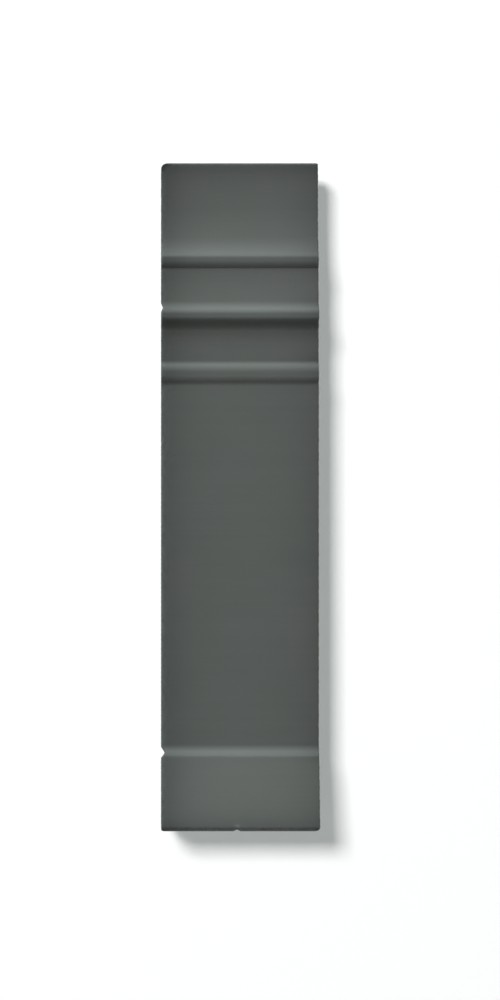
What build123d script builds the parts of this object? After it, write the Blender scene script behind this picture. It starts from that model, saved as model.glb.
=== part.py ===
from build123d import *
from math import acos, cos, degrees, radians, sin, tan
import os

os.makedirs("parts", exist_ok=True)

# Cut sample of a stepped vinyl wall base, in millimetres.
# X runs along the wall from the sample's mid-length, the wall is the plane Y = 0
# with the room on the -Y side, and Z rises from the floor.

# Overall sizes
sample_length = 36.1
total_height = 152.4
toe_thickness = 9.5
top_thickness = 4.0
top_edge_radius = 0.5

# The three courses from the top edge down. Each has a face, a hollow flare, a rounded
# nose with a narrow flat, and a soft double-curved step back to the face of the next.
# The foot of the face curves slowly outwards, except where its tilt is zero.
# A tilt is how far the surface leans to face the ceiling, in degrees.
upper_course = dict(
    height=24.4,
    face_radius=58.0,
    face_tilt=7.1,
    flare_radius=11.9,
    tilt=27.8,
    nose_radius=1.7,
    flat=0.5,
    under_radius=3.0,
    step_back=0.55,
    quirk_radius=0.25,
)
middle_course = dict(
    height=14.2,
    face_radius=61.0,
    face_tilt=6.7,
    flare_radius=3.5,
    tilt=40.3,
    nose_radius=1.9,
    flat=0.6,
    under_radius=1.5,
    step_back=1.4,
    quirk_radius=2.5,
)
lower_course = dict(
    height=12.6,
    face_radius=0.0,
    face_tilt=0.0,
    flare_radius=1.5,
    tilt=36.6,
    nose_radius=2.9,
    flat=0.9,
    under_radius=3.5,
    step_back=0.45,
    quirk_radius=2.1,
)

# Toe, whose flat front leans back, and the ledge that joins it to the panel
toe_height = 16.4
toe_tilt = 8.0
toe_bottom_radius = 1.2
ledge_tilt = 37.0
ledge_hollow_radius = 2.5
ledge_arris_radius = 1.8

# Grooves for the adhesive along the back
groove_pitch = 11.0
groove_margin = 10.0
groove_mouth = 3.0
groove_side_run = 0.4
groove_depth = 0.5

# Worn corners of the cut sample, as seen from the room
top_left_radius = 1.5
top_right_radius = 0.45
bottom_left_radius = 0.6
bottom_right_radius = 1.2

# Nicks: two in the left cut end, one in the bottom front edge
ledge_nick = dict(height=17.95, depth=0.9, above=1.4, below=1.15, fall=0.145)
nose_nick = dict(height=118.6, depth=0.45, above=1.1, below=1.1, fall=-0.11)
bottom_nick_place = -0.8
bottom_nick_width = 1.6
bottom_nick_height = 0.4
bottom_nick_run = 3.2
cut_over = 1.0


def flat_point(place):
    """A place (distance from the wall, height) as a point of the section sketch."""
    return (-place[0], place[1])


def straight(path, end):
    """Add a straight edge from the path's end to the place given."""
    path["edges"].append(Line(flat_point(path["end"]), flat_point(end)))
    path["end"] = end


def bend(path, radius, tilt_from, tilt_to):
    """Add an arc that turns the surface from one tilt to another on the way down the front."""
    side = 1 if tilt_to < tilt_from else -1
    depth, height = path["end"]
    centre_depth = depth - side * radius * cos(radians(tilt_from))
    centre_height = height - side * radius * sin(radians(tilt_from))
    start_angle = 180 - tilt_from if side > 0 else -tilt_from
    centre = flat_point((centre_depth, centre_height))
    path["edges"].append(CenterArc(centre, radius, start_angle, tilt_from - tilt_to))
    path["end"] = (
        centre_depth + side * radius * cos(radians(tilt_to)),
        centre_height + side * radius * sin(radians(tilt_to)),
    )


def course(path, foot_height, sizes):
    """Add one course down to its foot, where the face of the next one starts."""
    tilt = sizes["tilt"]
    face_tilt = sizes["face_tilt"]
    step_radius = sizes["under_radius"] + sizes["quirk_radius"]
    roll = acos(1 - sizes["step_back"] / step_radius)
    flat_bottom = foot_height + step_radius * sin(roll)
    flat_top = flat_bottom + sizes["flat"]
    flare_rise = (sizes["nose_radius"] + sizes["flare_radius"]) * sin(radians(tilt))
    face_rise = (sizes["face_radius"] - sizes["flare_radius"]) * sin(radians(face_tilt))
    straight(path, (path["end"][0], flat_top + flare_rise + face_rise))
    if face_tilt > 0:
        bend(path, sizes["face_radius"], 0, face_tilt)
    bend(path, sizes["flare_radius"], face_tilt, tilt)
    bend(path, sizes["nose_radius"], tilt, 0)
    straight(path, (path["end"][0], flat_bottom))
    bend(path, sizes["under_radius"], 0, -degrees(roll))
    bend(path, sizes["quirk_radius"], -degrees(roll), 0)


def ledge_and_toe(path):
    """Add the panel's foot, the sloping ledge, and the toe down to the floor."""
    panel_depth = path["end"][0]
    lean = radians(ledge_tilt)
    face_lean = radians(toe_tilt)
    face_foot = (
        toe_thickness - toe_bottom_radius * (1 - cos(face_lean)),
        toe_bottom_radius * (1 + sin(face_lean)),
    )
    toe_top_depth = face_foot[0] - (toe_height - face_foot[1]) * tan(face_lean)
    slope_end = (
        toe_top_depth - ledge_arris_radius * (cos(face_lean) - cos(lean)),
        toe_height + ledge_arris_radius * (sin(lean) - sin(face_lean)),
    )
    slope_start_depth = panel_depth + ledge_hollow_radius * (1 - cos(lean))
    slope_start_height = slope_end[1] + (slope_end[0] - slope_start_depth) / tan(lean)
    straight(path, (panel_depth, slope_start_height + ledge_hollow_radius * sin(lean)))
    bend(path, ledge_hollow_radius, 0, ledge_tilt)
    straight(path, slope_end)
    bend(path, ledge_arris_radius, ledge_tilt, toe_tilt)
    straight(path, face_foot)
    bend(path, toe_bottom_radius, toe_tilt, -90)
    straight(path, (0, 0))


def grooved_back(path):
    """Add the back from the floor up, with evenly spaced grooves between flat lands."""
    room = total_height - 2 * groove_margin
    spaces = int(room // groove_pitch)
    first = (total_height - spaces * groove_pitch) / 2
    for number in range(spaces + 1):
        middle = first + number * groove_pitch
        mouth = groove_mouth / 2
        floor = mouth - groove_side_run
        straight(path, (0, middle - mouth))
        straight(path, (groove_depth, middle - floor))
        straight(path, (groove_depth, middle + floor))
        straight(path, (0, middle + mouth))
    straight(path, (0, total_height))


def section():
    """The extruded section, upright in the YZ plane."""
    start = (top_thickness - top_edge_radius, total_height)
    path = dict(edges=[], end=start)
    bend(path, top_edge_radius, 90, 0)
    upper_foot = total_height - upper_course["height"]
    middle_foot = upper_foot - middle_course["height"]
    lower_foot = middle_foot - lower_course["height"]
    course(path, upper_foot, upper_course)
    course(path, middle_foot, middle_course)
    course(path, lower_foot, lower_course)
    ledge_and_toe(path)
    grooved_back(path)
    straight(path, start)
    return Plane.YZ * make_face(path["edges"])


def worn_outline():
    """The front view of the sample, a rectangle whose four corners are worn unevenly."""
    outline = Rectangle(sample_length, total_height)
    worn = (
        (-1, 1, top_left_radius),
        (1, 1, top_right_radius),
        (-1, -1, bottom_left_radius),
        (1, -1, bottom_right_radius),
    )
    for across, up, radius in worn:
        corner = max(outline.vertices(), key=lambda v: across * v.X + up * v.Y)
        outline = fillet(corner, radius)
    return Plane.XZ * Pos(0, total_height / 2) * outline


def end_nick(sizes):
    """A V cut into the left end from front to back, falling towards the wall."""
    end = -sample_length / 2
    front = toe_thickness + cut_over
    height = sizes["height"] + sizes["fall"] * (front - toe_thickness)
    outline = Polygon(
        (end - cut_over, height + sizes["above"] * (1 + cut_over / sizes["depth"])),
        (end - cut_over, height - sizes["below"] * (1 + cut_over / sizes["depth"])),
        (end + sizes["depth"], height),
        align=None,
    )
    direction = Vector(0, 1, -sizes["fall"])
    run = (front + cut_over) * direction.length
    return extrude(Plane.XZ.offset(front) * outline, run, dir=direction.normalized())


def bottom_nick():
    """A short V in the bottom front edge."""
    half = bottom_nick_width / 2
    share = 1 + cut_over / bottom_nick_height
    outline = Polygon(
        (bottom_nick_place - half * share, -cut_over),
        (bottom_nick_place + half * share, -cut_over),
        (bottom_nick_place, bottom_nick_height),
        align=None,
    )
    front = toe_thickness + cut_over
    return extrude(Plane.XZ.offset(front) * outline, -(bottom_nick_run + cut_over))


def wall_base():
    """The whole sample: the section run along X, trimmed to its worn outline and nicked."""
    bar = extrude(section(), sample_length / 2, both=True)
    stamp = extrude(worn_outline(), toe_thickness + cut_over, both=True)
    body = bar & stamp
    for sizes in (ledge_nick, nose_nick):
        body -= end_nick(sizes)
    body -= bottom_nick()
    return body.solids().sort_by(SortBy.VOLUME)[-1]


export_step(wall_base(), "parts/wall_base.step")
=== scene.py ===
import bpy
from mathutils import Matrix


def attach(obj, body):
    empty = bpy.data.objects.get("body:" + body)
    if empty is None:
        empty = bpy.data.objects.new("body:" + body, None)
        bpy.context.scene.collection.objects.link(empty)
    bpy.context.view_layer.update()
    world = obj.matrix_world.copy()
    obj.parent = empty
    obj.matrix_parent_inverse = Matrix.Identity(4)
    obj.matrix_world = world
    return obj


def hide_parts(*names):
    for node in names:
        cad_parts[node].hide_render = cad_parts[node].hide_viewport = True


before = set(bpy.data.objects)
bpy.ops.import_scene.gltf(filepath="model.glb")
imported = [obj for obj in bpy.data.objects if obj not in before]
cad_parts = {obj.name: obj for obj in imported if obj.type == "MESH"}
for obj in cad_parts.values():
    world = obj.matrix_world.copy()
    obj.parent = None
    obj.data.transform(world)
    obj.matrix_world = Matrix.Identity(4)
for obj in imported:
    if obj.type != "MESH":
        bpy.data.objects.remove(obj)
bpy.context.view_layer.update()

import math

import bmesh
import bpy
from mathutils import Vector
from mathutils.geometry import delaunay_2d_cdt


# The extruded strip, of filled vinyl pushed hot through a steel die, so that every line
# of its section runs the whole length. The grooved back is what gets glued to the wall.
# A place in the section is (distance from the wall, height), in mm.
MM = 0.001
HEIGHT = 152.4
TOE = 9.5
TOP = 4.0
TOP_EDGE_ROUND = 0.5
# From the top edge down: face that swells slowly, hollow flare, round nose, soft step back
COURSES = (
    dict(height=24.4, swell=58.0, swell_tilt=7.1, flare=11.9, tilt=27.8,
         nose=1.7, flat=0.5, under=3.0, back=0.55, quirk=0.25),
    dict(height=14.2, swell=61.0, swell_tilt=6.7, flare=3.5, tilt=40.3,
         nose=1.9, flat=0.6, under=1.5, back=1.4, quirk=2.5),
    dict(height=12.6, swell=0.0, swell_tilt=0.0, flare=1.5, tilt=36.6,
         nose=2.9, flat=0.9, under=3.5, back=0.45, quirk=2.1),
)
TOE_HEIGHT = 16.4
TOE_TILT = 8.0
TOE_FOOT_ROUND = 1.2
LEDGE_TILT = 37.0
LEDGE_HOLLOW = 2.5
LEDGE_ARRIS = 1.8
GROOVE_PITCH = 11.0
GROOVE_MARGIN = 10.0
GROOVE_MOUTH = 3.0
GROOVE_SIDE = 0.4
GROOVE_DEPTH = 0.5
DIE_CORNER = 0.12
LEAST_DIE_CORNER = 0.02
# How finely the section is drawn, in mm and degrees, and what turn makes a die corner
STRAIGHT_STEP = 0.45
ARC_STEP = 0.6
ARC_TURN = 4.0
FEWEST_ARC_PARTS = 4
CORNER_TURN = 20.0


def carry_straight(line, end):
    """Carries the line straight to a place."""
    d, z = line[-1]
    count = max(1, math.ceil(math.hypot(end[0] - d, end[1] - z) / STRAIGHT_STEP))
    for i in range(1, count + 1):
        line.append((d + (end[0] - d) * i / count, z + (end[1] - z) * i / count))


def carry_round(line, radius, tilt_from, tilt_to):
    """Carries the line round an arc. A tilt is how far the surface leans to the ceiling."""
    side = 1 if tilt_to < tilt_from else -1
    a, b = math.radians(tilt_from), math.radians(tilt_to)
    d = line[-1][0] - side * radius * math.cos(a)
    z = line[-1][1] - side * radius * math.sin(a)
    by_turn = math.ceil(abs(tilt_from - tilt_to) / ARC_TURN)
    by_length = math.ceil(radius * abs(b - a) / ARC_STEP)
    count = max(FEWEST_ARC_PARTS, by_turn, by_length)
    for i in range(1, count + 1):
        t = a + (b - a) * i / count
        line.append((d + side * radius * math.cos(t), z + side * radius * math.sin(t)))


outline = [(0.0, HEIGHT)]
carry_straight(outline, (TOP - TOP_EDGE_ROUND, HEIGHT))
carry_round(outline, TOP_EDGE_ROUND, 90, 0)
foot = HEIGHT
course_feet = []
proud_heights = []
for course in COURSES:
    foot -= course["height"]
    step_round = course["under"] + course["quirk"]
    roll = math.acos(1 - course["back"] / step_round)
    flat_bottom = foot + step_round * math.sin(roll)
    rise = (course["nose"] + course["flare"]) * math.sin(math.radians(course["tilt"]))
    rise += (course["swell"] - course["flare"]) * math.sin(math.radians(course["swell_tilt"]))
    carry_straight(outline, (outline[-1][0], flat_bottom + course["flat"] + rise))
    if course["swell"]:
        carry_round(outline, course["swell"], 0, course["swell_tilt"])
    carry_round(outline, course["flare"], course["swell_tilt"], course["tilt"])
    carry_round(outline, course["nose"], course["tilt"], 0)
    carry_straight(outline, (outline[-1][0], flat_bottom))
    carry_round(outline, course["under"], 0, -math.degrees(roll))
    carry_round(outline, course["quirk"], -math.degrees(roll), 0)
    course_feet.append(foot)
    proud_heights.append(flat_bottom + course["flat"] + course["nose"])

# The panel runs down to the ledge, and the ledge to the toe that leans back a little
panel = outline[-1][0]
lean, toe_lean = math.radians(LEDGE_TILT), math.radians(TOE_TILT)
toe_foot = (
    TOE - TOE_FOOT_ROUND * (1 - math.cos(toe_lean)),
    TOE_FOOT_ROUND * (1 + math.sin(toe_lean)),
)
toe_top = toe_foot[0] - (TOE_HEIGHT - toe_foot[1]) * math.tan(toe_lean)
slope_end = (
    toe_top - LEDGE_ARRIS * (math.cos(toe_lean) - math.cos(lean)),
    TOE_HEIGHT + LEDGE_ARRIS * (math.sin(lean) - math.sin(toe_lean)),
)
slope_start = panel + LEDGE_HOLLOW * (1 - math.cos(lean))
slope_top = slope_end[1] + (slope_end[0] - slope_start) / math.tan(lean)
carry_straight(outline, (panel, slope_top + LEDGE_HOLLOW * math.sin(lean)))
carry_round(outline, LEDGE_HOLLOW, 0, LEDGE_TILT)
carry_straight(outline, slope_end)
carry_round(outline, LEDGE_ARRIS, LEDGE_TILT, TOE_TILT)
proud_heights.append(slope_end[1])
carry_straight(outline, toe_foot)
carry_round(outline, TOE_FOOT_ROUND, TOE_TILT, -90)
carry_straight(outline, (0.0, 0.0))
skin_count = len(outline)

# The back, from the floor up, with shallow grooves for the adhesive between flat lands
spaces = int((HEIGHT - 2 * GROOVE_MARGIN) // GROOVE_PITCH)
for number in range(spaces + 1):
    middle = (HEIGHT - spaces * GROOVE_PITCH) / 2 + number * GROOVE_PITCH
    half_mouth = GROOVE_MOUTH / 2
    half_floor = half_mouth - GROOVE_SIDE
    carry_straight(outline, (0.0, middle - half_mouth))
    carry_straight(outline, (GROOVE_DEPTH, middle - half_floor))
    carry_straight(outline, (GROOVE_DEPTH, middle + half_floor))
    carry_straight(outline, (0.0, middle + half_mouth))
carry_straight(outline, (0.0, HEIGHT))
outline.pop()


def bends(line):
    """How far the closed line turns at each point, in radians, outer corners positive."""
    found = []
    for i, place in enumerate(line):
        u = Vector(place) - Vector(line[i - 1])
        v = Vector(line[(i + 1) % len(line)]) - Vector(place)
        found.append(-math.atan2(u.x * v.y - u.y * v.x, u.dot(v)))
    return found


outline_bends = bends(outline)


def section_ring(cut_back):
    """The section moved inwards by cut_back mm, its die corners rounded, with the point
    of the sharp outline that each new point comes from."""
    moved = []
    for i, place in enumerate(outline):
        u = (Vector(place) - Vector(outline[i - 1])).normalized()
        v = (Vector(outline[(i + 1) % len(outline)]) - Vector(place)).normalized()
        mitre = Vector((u.y, -u.x)) + Vector((v.y, -v.x))
        moved.append(Vector(place) + mitre / (1 + u.dot(v)) * cut_back)
    ring, source = [], []
    for i, place in enumerate(moved):
        turn = outline_bends[i]
        if abs(turn) < math.radians(CORNER_TURN):
            ring.append(tuple(place))
            source.append(i)
            continue
        side = 1 if turn > 0 else -1
        radius = max(LEAST_DIE_CORNER, DIE_CORNER - side * cut_back)
        reach = radius * math.tan(abs(turn) / 2)
        start = (moved[i - 1] - place).normalized() * reach
        end = (moved[(i + 1) % len(moved)] - place).normalized() * reach
        for s in (0, 1 / 3, 2 / 3, 1):
            ring.append(tuple(place + start * (1 - s) ** 2 + end * s ** 2))
            source.append(i)
    return ring, source


# The cut sample, a short length that a blade has cut square off the strip. Handling has
# rounded its four corners unevenly, and left two nicks in the left end and a small one
# under the toe.
LENGTH = 36.1
CUT_ARRIS = 0.35
ARRIS_PARTS = 4
# The round of each corner, by its side (-1 is left) and its end (-1 is the bottom)
CORNERS = {(-1, 1): 1.5, (1, 1): 0.45, (-1, -1): 0.6, (1, -1): 1.2}
END_NICKS = (
    dict(height=17.95, depth=0.9, above=1.4, below=1.15, fall=0.145),
    dict(height=118.6, depth=0.45, above=1.1, below=1.1, fall=-0.11),
)
TOE_NICK = dict(place=-0.8, half=0.8, height=0.4, run=3.2, steepness=2, stretch=2.0)
# How far the blade wandered, in mm, and its waves, in radians per mm up and across
WANDER = 0.02
WAVES = ((1.7, 0.8), (4.1, -1.3))


def nick_middle(nick, d):
    return nick["height"] - nick["fall"] * (TOE - d)


def cut_end(side, d, z):
    """How far from mid-length the cut face lies at a place of the section."""
    wave = sum(math.sin(up * z + across * d) for up, across in WAVES)
    x = LENGTH / 2 - WANDER * (len(WAVES) + wave)
    for up, gap in ((1, HEIGHT - z), (-1, z)):
        radius = CORNERS[(side, up)]
        if gap < radius:
            drop = radius - math.sqrt(max(0.0, radius ** 2 - (radius - gap) ** 2))
            x = min(x, LENGTH / 2 - drop)
    if side < 0:
        for nick in END_NICKS:
            gap = z - nick_middle(nick, d)
            share = 1 - abs(gap) / (nick["above"] if gap > 0 else nick["below"])
            x = min(x, LENGTH / 2 - nick["depth"] * share)
    return x


def toe_nick_lift(x, d, z):
    """How far the nick under the toe lifts the surface, less and less up to its stretch."""
    across = 1 - abs(x - TOE_NICK["place"]) / TOE_NICK["half"]
    inward = (d - (TOE - TOE_NICK["run"])) / TOE_NICK["run"]
    if across <= 0 or inward <= 0 or z > TOE_NICK["stretch"]:
        return 0.0
    depth = TOE_NICK["height"] * min(1, TOE_NICK["steepness"] * inward)
    return depth * across * (1 - z / TOE_NICK["stretch"])


# The rings of the sweep, from the left cut face over its rounded arris to the right one.
# Past EVEN_HALF mm from mid-length they lean, each more than the last, to meet the cut.
EVEN_HALF = 14.0
RING_STEP = 2.0
END_RINGS = (15.5, 16.6, 17.2, 17.5)
NICK_RINGS = 4
arris_rings = []
for k in range(ARRIS_PARTS + 1):
    t = math.pi / 2 * k / ARRIS_PARTS
    ring, source = section_ring(CUT_ARRIS * (1 - math.cos(t)))
    arris_rings.append((ring, CUT_ARRIS * (1 - math.sin(t))))
whole_ring = arris_rings[0][0]
ring_size = len(whole_ring)
even_count = int(EVEN_HALF / RING_STEP)
ring_places = [RING_STEP * i for i in range(-even_count, even_count + 1)]
ring_places += [side * x for side in (-1, 1) for x in END_RINGS]
for i in range(-NICK_RINGS, NICK_RINGS + 1):
    ring_places.append(TOE_NICK["place"] + TOE_NICK["half"] * i / NICK_RINGS)
sweep = [
    [(-(cut_end(-1, d, z) - short), d, z) for d, z in ring]
    for ring, short in reversed(arris_rings)
]
for x in sorted({round(x, 3) for x in ring_places}):
    swept = []
    for d, z in whole_ring:
        place = x
        if abs(x) > EVEN_HALF:
            side = 1 if x > 0 else -1
            room = cut_end(side, d, z) - CUT_ARRIS - EVEN_HALF
            full_room = LENGTH / 2 - CUT_ARRIS - EVEN_HALF
            place = side * (EVEN_HALF + (abs(x) - EVEN_HALF) * room / full_room)
        swept.append((place, d, z + toe_nick_lift(x, d, z)))
    sweep.append(swept)
sweep += [
    [(cut_end(1, d, z) - short, d, z) for d, z in ring] for ring, short in arris_rings
]

# The mesh, whose faces take the material of the skin, the back or a cut end
SKIN, BACK, END = 0, 1, 2
points = [place for ring in sweep for place in ring]
faces = []
face_slots = []
for r in range(len(sweep) - 1):
    this, following = r * ring_size, (r + 1) * ring_size
    for i in range(ring_size):
        j = (i + 1) % ring_size
        faces.append((this + i, this + j, following + j, following + i))
        face_slots.append(SKIN if source[i] < skin_count - 1 else BACK)

# The two cut faces, filled with a net, which is finer about the two nicks so that it
# follows them
NET = 0.5
NICK_NET = 0.25
NICK_NET_DEPTH = 8.75
INNER_FACES_ONLY = 1
SAME_PLACE = 1e-6
cap_ring = arris_rings[ARRIS_PARTS][0]
net = [Vector(place) for place in cap_ring]
for j in range(1, int(HEIGHT / NET)):
    net += [Vector((NET * i, NET * j)) for i in range(1, int(TOE / NET))]
for nick in END_NICKS:
    for i in range(1, int(NICK_NET_DEPTH / NICK_NET) + 1):
        d = NICK_NET * i
        middle = nick_middle(nick, d)
        for share in (-1, -0.5, 0, 0.5, 1):
            reach = nick["above"] if share > 0 else nick["below"]
            net.append(Vector((d, middle + share * reach)))
rim = [(i, (i + 1) % ring_size) for i in range(ring_size)]
cap_points, _, cap_faces, cap_source, _, _ = delaunay_2d_cdt(
    net, rim, [list(range(ring_size))], INNER_FACES_ONLY, SAME_PLACE)
for side, start in ((-1, 0), (1, (len(sweep) - 1) * ring_size)):
    number = []
    for place, origins in zip(cap_points, cap_source):
        on_rim = [m for m in origins if m < ring_size]
        if on_rim:
            number.append(start + on_rim[0])
        else:
            number.append(len(points))
            points.append((side * cut_end(side, place.x, place.y), place.x, place.y))
    for corners in cap_faces:
        faces.append(tuple(number[i] for i in corners))
        face_slots.append(END)

# Painted shade and light, and marks of handling, as values at each point of the surface. A dark
# is the share of the skin's colour that is gone at an edge, and each fade, reach and size is in
# mm.
LEFT_DARK, PANEL_LEFT_DARK, LEFT_FADE = 0.60, 0.47, 4.3
RIGHT_DARK, PROUD_RIGHT_DARK, RIGHT_FADE = 0.30, 0.18, 5.0
TOP_DARK, TOP_FADE = 0.53, 3.7
BOTTOM_DARK, BOTTOM_FADE = 0.60, 2.2
FOOT_SPARED, FOOT_SPARED_REACH = 0.9, 0.8
PROUD_REACH = 2.0
# Painted shade at the top-left corner
CORNER_SHADE = dict(dark=0.75, size=1.9, spared=0.9, spread=0.9)
# Painted shade in the hollow under the middle nose, where its shadow falls
HOLLOW = dict(dark=0.18, start=0.8, reach=3.0)
# Painted light: the toe is made paler
TOE_PAINTED_LIGHT = 1.12
# A highlight painted along the left end
LEFT_HIGHLIGHT, LEFT_HIGHLIGHT_FADE = 1.4, 0.7
FOOT_PALE_REACH = 0.9
TOP_PALE, TOP_PALE_REACH = 0.5, 0.8
NICK_SCRAPE = dict(height=1.0, across=0.55, up=0.7)
RUB_PER_BEND = 2.4


def within(value):
    """The value, kept from 0 to 1."""
    return max(0.0, min(1.0, value))


def fading(gap, fade):
    """1 at an edge, and less and less away from it."""
    return math.exp(-gap / fade)


def spot(gap, reach):
    """1 in the middle of a spot, and soon nothing to either side."""
    return math.exp(-(gap / reach) ** 2)


def painted_light_and_shade(x, z):
    """Painted shade and light: the front is darker towards its outline, least of all beside the
    panel and more at the right end beside the noses and ledge, where it dims their highlights.
    It is darker still at the top-left corner and in the deep hollow under the middle nose, and
    the toe is painted paler."""
    from_left, from_right, from_top = LENGTH / 2 + x, LENGTH / 2 - x, HEIGHT - z
    beside_panel = slope_top < z < course_feet[2]
    proud = max(spot(z - height, PROUD_REACH) for height in proud_heights)
    left = (PANEL_LEFT_DARK if beside_panel else LEFT_DARK) * fading(from_left, LEFT_FADE)
    right = (RIGHT_DARK + PROUD_RIGHT_DARK * proud) * fading(from_right, RIGHT_FADE)
    top = TOP_DARK * fading(from_top, TOP_FADE)
    bottom = BOTTOM_DARK * fading(z, BOTTOM_FADE)
    bottom *= 1 - FOOT_SPARED * spot(z, FOOT_SPARED_REACH)
    corner_shade = 0.0
    if from_left < CORNER_SHADE["size"] and from_top < CORNER_SHADE["size"]:
        out = math.hypot(CORNER_SHADE["size"] - from_left, CORNER_SHADE["size"] - from_top)
        corner_shade = CORNER_SHADE["dark"] * within((out - CORNER_SHADE["spared"]) / CORNER_SHADE["spread"])
    below = course_feet[1] - z
    hollow = HOLLOW["dark"] * within(below / HOLLOW["start"]) * spot(below, HOLLOW["reach"])
    tone = (1 - left) * (1 - right) * (1 - top) * (1 - bottom) * (1 - corner_shade) * (1 - hollow)
    return tone * (TOE_PAINTED_LIGHT if z < TOE_HEIGHT else 1.0)


def scuff_and_highlight(x, z):
    """Paler along the left end, where a highlight is painted on its arris, paler along the foot
    and the top edge, and paler above the nick under the toe, where the skin is scraped."""
    left = LEFT_HIGHLIGHT * fading(LENGTH / 2 + x, LEFT_HIGHLIGHT_FADE)
    nick = spot(x - TOE_NICK["place"], NICK_SCRAPE["across"])
    nick *= spot(z - NICK_SCRAPE["height"], NICK_SCRAPE["up"])
    foot_edge = spot(z, FOOT_PALE_REACH)
    top_edge = TOP_PALE * spot(HEIGHT - z, TOP_PALE_REACH)
    return min(1.0, left + nick + foot_edge + top_edge)


# The rub of hands and boxes shows where the section bends outwards most sharply
ring_bends = bends(whole_ring)
ring_rub = []
for i, place in enumerate(whole_ring):
    following = whole_ring[(i + 1) % ring_size]
    reach = math.dist(place, whole_ring[i - 1]) + math.dist(place, following)
    ring_rub.append(within(RUB_PER_BEND * ring_bends[i] / reach))
rub = ring_rub * len(sweep)
rub += [0.0] * (len(points) - len(rub))

mesh = bpy.data.meshes.new("vinyl_wall_base")
mesh.from_pydata([(x * MM, -d * MM, z * MM) for x, d, z in points], [], faces)
# The points carry painted shade and light, scrapes with a painted highlight along the left end,
# and the rub of wear
for name, values in (
    ("painted_light_and_shade", [painted_light_and_shade(x, z) for x, d, z in points]),
    ("scuff_and_highlight", [scuff_and_highlight(x, z) for x, d, z in points]),
    ("rub", rub),
):
    mesh.attributes.new(name, "FLOAT", "POINT").data.foreach_set("value", values)
mesh.polygons.foreach_set("use_smooth", [True] * len(faces))
mesh.polygons.foreach_set("material_index", face_slots)
body = bmesh.new()
body.from_mesh(mesh)
bmesh.ops.delete(body, geom=[v for v in body.verts if not v.link_faces], context="VERTS")
bmesh.ops.recalc_face_normals(body, faces=body.faces)
body.to_mesh(mesh)
body.free()
wall_base = bpy.data.objects.new("vinyl_wall_base", mesh)
bpy.context.scene.collection.objects.link(wall_base)
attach(wall_base, "root")
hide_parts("wall_base")


# The skin, where the hot vinyl slid along the polished steel of the die. It came out
# satin, with faint lines lengthwise and a fine orange peel.
def linear(code):
    """An sRGB hex colour as Blender's linear colour."""
    parts = [int(code[i:i + 2], 16) / 255 for i in (1, 3, 5)]
    return [c / 12.92 if c <= 0.04045 else ((c + 0.055) / 1.055) ** 2.4 for c in parts] + [1.0]


def add(tree, kind, settings=(), links=()):
    """Adds a node with its settings, and links its inputs to the sockets given."""
    node = tree.nodes.new(kind)
    for name, value in dict(settings).items():
        if isinstance(name, int) or name in node.inputs:
            node.inputs[name].default_value = value
        else:
            setattr(node, name, value)
    for name, socket in dict(links).items():
        tree.links.new(socket, node.inputs[name])
    return node


def new_material(name):
    material = bpy.data.materials.new(name)
    material.use_nodes = True
    return material, material.node_tree, material.node_tree.nodes["Principled BSDF"]


def blotches(tree, place, size, detail=2.0):
    """Noise from 0 to 1 whose blotches measure size mm along X, Y and Z."""
    stretched = add(tree, "ShaderNodeVectorMath",
                    {"operation": "DIVIDE", 1: [s * MM for s in size]}, {0: place})
    noise = add(tree, "ShaderNodeTexNoise",
                {"Scale": 1.0, "Detail": detail}, {"Vector": stretched.outputs[0]})
    return noise.outputs["Fac"]


def laid_over(tree, under, over, where, spread, strength, marks=None):
    """Lays the colour over on the colour under as where rises through its spread, from
    the least to the most strength, and no more than the marks named allow."""
    amount = add(tree, "ShaderNodeMapRange", {
        "From Min": spread[0], "From Max": spread[1],
        "To Min": strength[0], "To Max": strength[1],
    }, {"Value": where}).outputs["Result"]
    if marks:
        allowed = add(tree, "ShaderNodeAttribute", {"attribute_name": marks}).outputs["Fac"]
        amount = add(tree, "ShaderNodeMath",
                     {"operation": "MULTIPLY"}, {0: allowed, 1: amount}).outputs[0]
    mixed = add(tree, "ShaderNodeMix", {"data_type": "RGBA", 7: linear(over)}, {0: amount})
    if isinstance(under, str):
        mixed.inputs[6].default_value = linear(under)
    else:
        tree.links.new(under, mixed.inputs[6])
    return mixed.outputs[2]


# Dark grey-green and satin: the noses catch a soft pale line, and nothing glints
skin, tree, surface = new_material("extruded_vinyl_satin_skin")
place = add(tree, "ShaderNodeTexCoord").outputs["Object"]
# Real die lines are finer than 0.3 mm; drawn at 0.7 mm so that they can be seen
die_lines = blotches(tree, place, (45, 0.7, 0.7), 3.0)
cloud = blotches(tree, place, (16, 16, 11))
tint_cloud = blotches(tree, place, (11, 20, 30), 1.0)
peel = blotches(tree, place, (0.55, 0.45, 0.45), 1.0)
rub_blotches = blotches(tree, place, (4, 1.5, 1.5))
scrape_and_highlight_blotches = blotches(tree, place, (0.7, 0.7, 1.6))
colour = laid_over(tree, "#575957", "#565956", tint_cloud, (0.35, 0.65), (0.0, 1.0))
colour = laid_over(tree, colour, "#4e5350", cloud, (0.3, 0.7), (0.0, 0.35))
colour = laid_over(tree, colour, "#5f6663", die_lines, (0.35, 0.7), (0.0, 0.13))
colour = laid_over(tree, colour, "#656c69", rub_blotches, (0.35, 0.65), (0.0, 0.12), "rub")
# Paler where the skin is scraped, with a painted highlight along the left end
colour = laid_over(tree, colour, "#7f8784", scrape_and_highlight_blotches, (0.3, 0.6), (0.2275, 0.65), "scuff_and_highlight")
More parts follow.
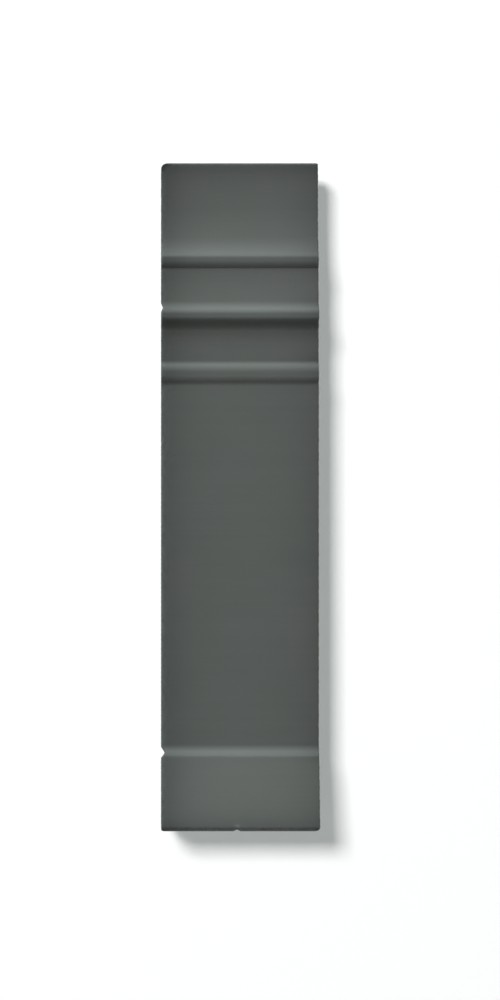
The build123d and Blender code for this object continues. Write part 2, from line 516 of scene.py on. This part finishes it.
# Painted shade and light multiply the colour: darker towards the outline, at the top-left corner
# and in the hollow under the middle nose, paler on the toe
tone = add(tree, "ShaderNodeAttribute", {"attribute_name": "painted_light_and_shade"}).outputs["Fac"]
toned = add(tree, "ShaderNodeMix",
            {"data_type": "RGBA", "blend_type": "MULTIPLY", 0: 1.0}, {6: colour, 7: tone})
tree.links.new(toned.outputs[2], surface.inputs["Base Color"])
roughness = add(tree, "ShaderNodeMapRange", {
    "From Min": 0.3, "From Max": 0.7, "To Min": 0.66, "To Max": 0.74}, {"Value": die_lines})
tree.links.new(roughness.outputs["Result"], surface.inputs["Roughness"])
line_relief = add(tree, "ShaderNodeBump", {"Strength": 1.0, "Distance": 0.007 * MM},
                  {"Height": die_lines})
peel_relief = add(tree, "ShaderNodeBump", {"Strength": 1.0, "Distance": 0.012 * MM},
                  {"Height": peel, "Normal": line_relief.outputs["Normal"]})
tree.links.new(peel_relief.outputs["Normal"], surface.inputs["Normal"])
surface.inputs["Specular IOR Level"].default_value = 0.3
surface.inputs["IOR"].default_value = 1.5
mesh.materials.append(skin)


# The back, which slid along a rougher part of the die and is glued out of sight. It is
# duller than the front, with coarser drag lines and a dusting of chalk from the filler.
back, tree, surface = new_material("extruded_vinyl_dull_back")
# Flat grey-green with pale streaks along it: it takes the light without a gleam
place = add(tree, "ShaderNodeTexCoord").outputs["Object"]
drag = blotches(tree, place, (30, 1.1, 1.1), 4.0)
dust = blotches(tree, place, (9, 2.2, 1.6), 5.0)
wear = blotches(tree, place, (3, 1, 1))
colour = laid_over(tree, "#4a504d", "#565c59", drag, (0.3, 0.7), (0.0, 1.0))
colour = laid_over(tree, colour, "#737975", dust, (0.45, 0.75), (0.0, 0.3))
colour = laid_over(tree, colour, "#7b827e", wear, (0.35, 0.6), (0.12, 0.4), "rub")
tree.links.new(colour, surface.inputs["Base Color"])
roughness = add(tree, "ShaderNodeMapRange", {
    "From Min": 0.3, "From Max": 0.7, "To Min": 0.74, "To Max": 0.86}, {"Value": dust})
tree.links.new(roughness.outputs["Result"], surface.inputs["Roughness"])
drag_relief = add(tree, "ShaderNodeBump", {"Strength": 1.0, "Distance": 0.05 * MM},
                  {"Height": drag})
tree.links.new(drag_relief.outputs["Normal"], surface.inputs["Normal"])
surface.inputs["Specular IOR Level"].default_value = 0.25
mesh.materials.append(back)


# The cut ends, where the blade went through. It left them matt, with fine marks across
# the thickness, and laid open the pale grains of chalk that fill the vinyl.
ends, tree, surface = new_material("blade_cut_vinyl_end")
# Chalky grey with pale specks: the dullest of the three, and palest along its rim
place = add(tree, "ShaderNodeTexCoord").outputs["Object"]
blade = blotches(tree, place, (9, 9, 0.28), 3.0)
# Real grains are finer than 0.05 mm; drawn at 0.22 mm so that they can be seen
grains = blotches(tree, place, (0.22, 0.22, 0.22), 1.0)
rim_rub = add(tree, "ShaderNodeAttribute", {"attribute_name": "rub"}).outputs["Fac"]
colour = laid_over(tree, "#505653", "#5d6360", blade, (0.3, 0.7), (0.0, 1.0))
colour = laid_over(tree, colour, "#8c918d", grains, (0.66, 0.74), (0.0, 0.6))
colour = laid_over(tree, colour, "#7b827e", rim_rub, (0.0, 1.0), (0.0, 0.35))
tree.links.new(colour, surface.inputs["Base Color"])
roughness = add(tree, "ShaderNodeMapRange", {
    "From Min": 0.3, "From Max": 0.7, "To Min": 0.76, "To Max": 0.88}, {"Value": blade})
tree.links.new(roughness.outputs["Result"], surface.inputs["Roughness"])
blade_relief = add(tree, "ShaderNodeBump", {"Strength": 1.0, "Distance": 0.03 * MM},
                   {"Height": blade})
tree.links.new(blade_relief.outputs["Normal"], surface.inputs["Normal"])
surface.inputs["Specular IOR Level"].default_value = 0.25
mesh.materials.append(ends)


# The studio. The sample hangs just in front of a white paper backdrop, above a pale
# floor. Soft lamps light it from above, the front, below, both ends and behind, and one
# more, which lights the paper alone, casts its shadow.
BACKDROP_GAP = 6.0
FLOOR_DROP = 70.0
PAPER_HALF = 1200.0
SKY_GLOW = 0.115
lit_sample = bpy.data.collections.new("lit_sample")
lit_paper = bpy.data.collections.new("lit_paper")
bpy.context.scene.collection.children.link(lit_sample)
bpy.context.scene.collection.children.link(lit_paper)
lit_sample.objects.link(wall_base)


def paper(name, corners, whiteness, glow):
    """A sheet of matt paper that glows a little, for the camera only. It has a front and
    no back, so that the back of the sample can be looked at through the backdrop."""
    sheet_mesh = bpy.data.meshes.new(name)
    sheet_mesh.from_pydata([Vector(c) * MM for c in corners], [], [(0, 1, 2, 3)])
    sheet = bpy.data.objects.new(name, sheet_mesh)
    bpy.context.scene.collection.objects.link(sheet)
    lit_paper.objects.link(sheet)
    material, tree, surface = new_material(name + "_paper")
    surface.inputs["Base Color"].default_value = (whiteness, whiteness, whiteness, 1)
    surface.inputs["Roughness"].default_value = 0.9
    surface.inputs["Specular IOR Level"].default_value = 0.0
    surface.inputs["Emission Color"].default_value = linear("#f7fffb")
    camera_ray = add(tree, "ShaderNodeLightPath").outputs["Is Camera Ray"]
    seen_glow = add(tree, "ShaderNodeMath", {"operation": "MULTIPLY", 1: glow}, {0: camera_ray})
    tree.links.new(seen_glow.outputs[0], surface.inputs["Emission Strength"])
    clear = add(tree, "ShaderNodeBsdfTransparent")
    behind = add(tree, "ShaderNodeNewGeometry").outputs["Backfacing"]
    front_only = add(tree, "ShaderNodeMixShader", {},
                     {0: behind, 1: surface.outputs[0], 2: clear.outputs[0]})
    tree.links.new(front_only.outputs[0], tree.nodes["Material Output"].inputs["Surface"])
    sheet_mesh.materials.append(material)


w, y, z = PAPER_HALF, BACKDROP_GAP, -FLOOR_DROP
paper("backdrop", [(-w, y, -w), (w, y, -w), (w, y, w), (-w, y, w)], whiteness=0.8, glow=0.27)
paper("floor", [(-w, -w, z), (w, -w, z), (w, w, z), (-w, w, z)], whiteness=0.2, glow=1.0)

# The world is a weak white light all round, and plain white to the camera
world = bpy.data.worlds.new("studio")
bpy.context.scene.world = world
world.use_nodes = True
tree = world.node_tree
sky = tree.nodes["Background"]
sky.inputs["Color"].default_value = (1, 1, 1, 1)
camera_ray = add(tree, "ShaderNodeLightPath").outputs["Is Camera Ray"]
sky_strength = add(tree, "ShaderNodeMapRange", {
    "From Min": 0, "From Max": 1, "To Min": SKY_GLOW, "To Max": 1.0}, {"Value": camera_ray})
tree.links.new(sky_strength.outputs["Result"], sky.inputs["Strength"])


def softbox(name, left, elevation, watts, lights=lit_sample, size=(2.2, 2.1), distance=4.0,
            tint="#ffffff"):
    """A soft lamp that looks at the sample's middle, from degrees left and degrees up.
    Its size and distance are in metres."""
    data = bpy.data.lights.new(name, "AREA")
    data.shape = "RECTANGLE"
    data.size, data.size_y = size
    data.energy = watts
    data.color = linear(tint)[:3]
    lamp = bpy.data.objects.new(name, data)
    bpy.context.scene.collection.objects.link(lamp)
    a, e = math.radians(left), math.radians(elevation)
    away = Vector((-math.sin(a) * math.cos(e), -math.cos(a) * math.cos(e), math.sin(e)))
    lamp.location = Vector((0, 0, HEIGHT / 2 * MM)) + away * distance
    lamp.rotation_euler = away.to_track_quat("Z", "Y").to_euler()
    lamp.visible_camera = False
    lamp.light_linking.receiver_collection = lights
    lamp.light_linking.blocker_collection = lit_sample


softbox("overhead_softbox", left=12, elevation=80, watts=125.0, tint="#e6fffd")
softbox("front_softbox", left=25, elevation=57, watts=211.0)
softbox("floor_bounce", left=15, elevation=-60, watts=31.0, size=(2.2, 2.2))
softbox("left_end_softbox", left=108, elevation=10, watts=90.0, size=(2.0, 2.0))
softbox("right_end_softbox", left=-108, elevation=10, watts=105.0, size=(2.0, 2.0))
softbox("back_softbox", left=180, elevation=40, watts=125.0, size=(2.2, 2.2))
softbox("paper_lamp", left=24.1, elevation=23.9, watts=89.5, lights=lit_paper,
        size=(0.82, 0.74), distance=3.0)

# The camera looks square at the wall, in line with the sample's left end. Its lens is
# worked out from the focal length in pixels of the photograph's frame.
CAMERA_LEFT = 18.0
CAMERA_OFF = 400.0
CAMERA_HEIGHT = 75.1
PICTURE_HEIGHT = 1000
FOCAL_LENGTH_PIXELS = 1727.5
SENSOR_HEIGHT = 36.0
SIDE_SHIFT = 0.0889
camera_data = bpy.data.cameras.new("camera")
camera = bpy.data.objects.new("camera", camera_data)
bpy.context.scene.collection.objects.link(camera)
camera.location = (-CAMERA_LEFT * MM, -CAMERA_OFF * MM, CAMERA_HEIGHT * MM)
camera.rotation_euler = (math.pi / 2, 0, 0)
camera_data.sensor_fit = "VERTICAL"
camera_data.sensor_height = SENSOR_HEIGHT
camera_data.lens = FOCAL_LENGTH_PIXELS / PICTURE_HEIGHT * SENSOR_HEIGHT
camera_data.shift_x = SIDE_SHIFT
bpy.context.scene.camera = camera
bpy.context.scene.view_settings.view_transform = "Standard"
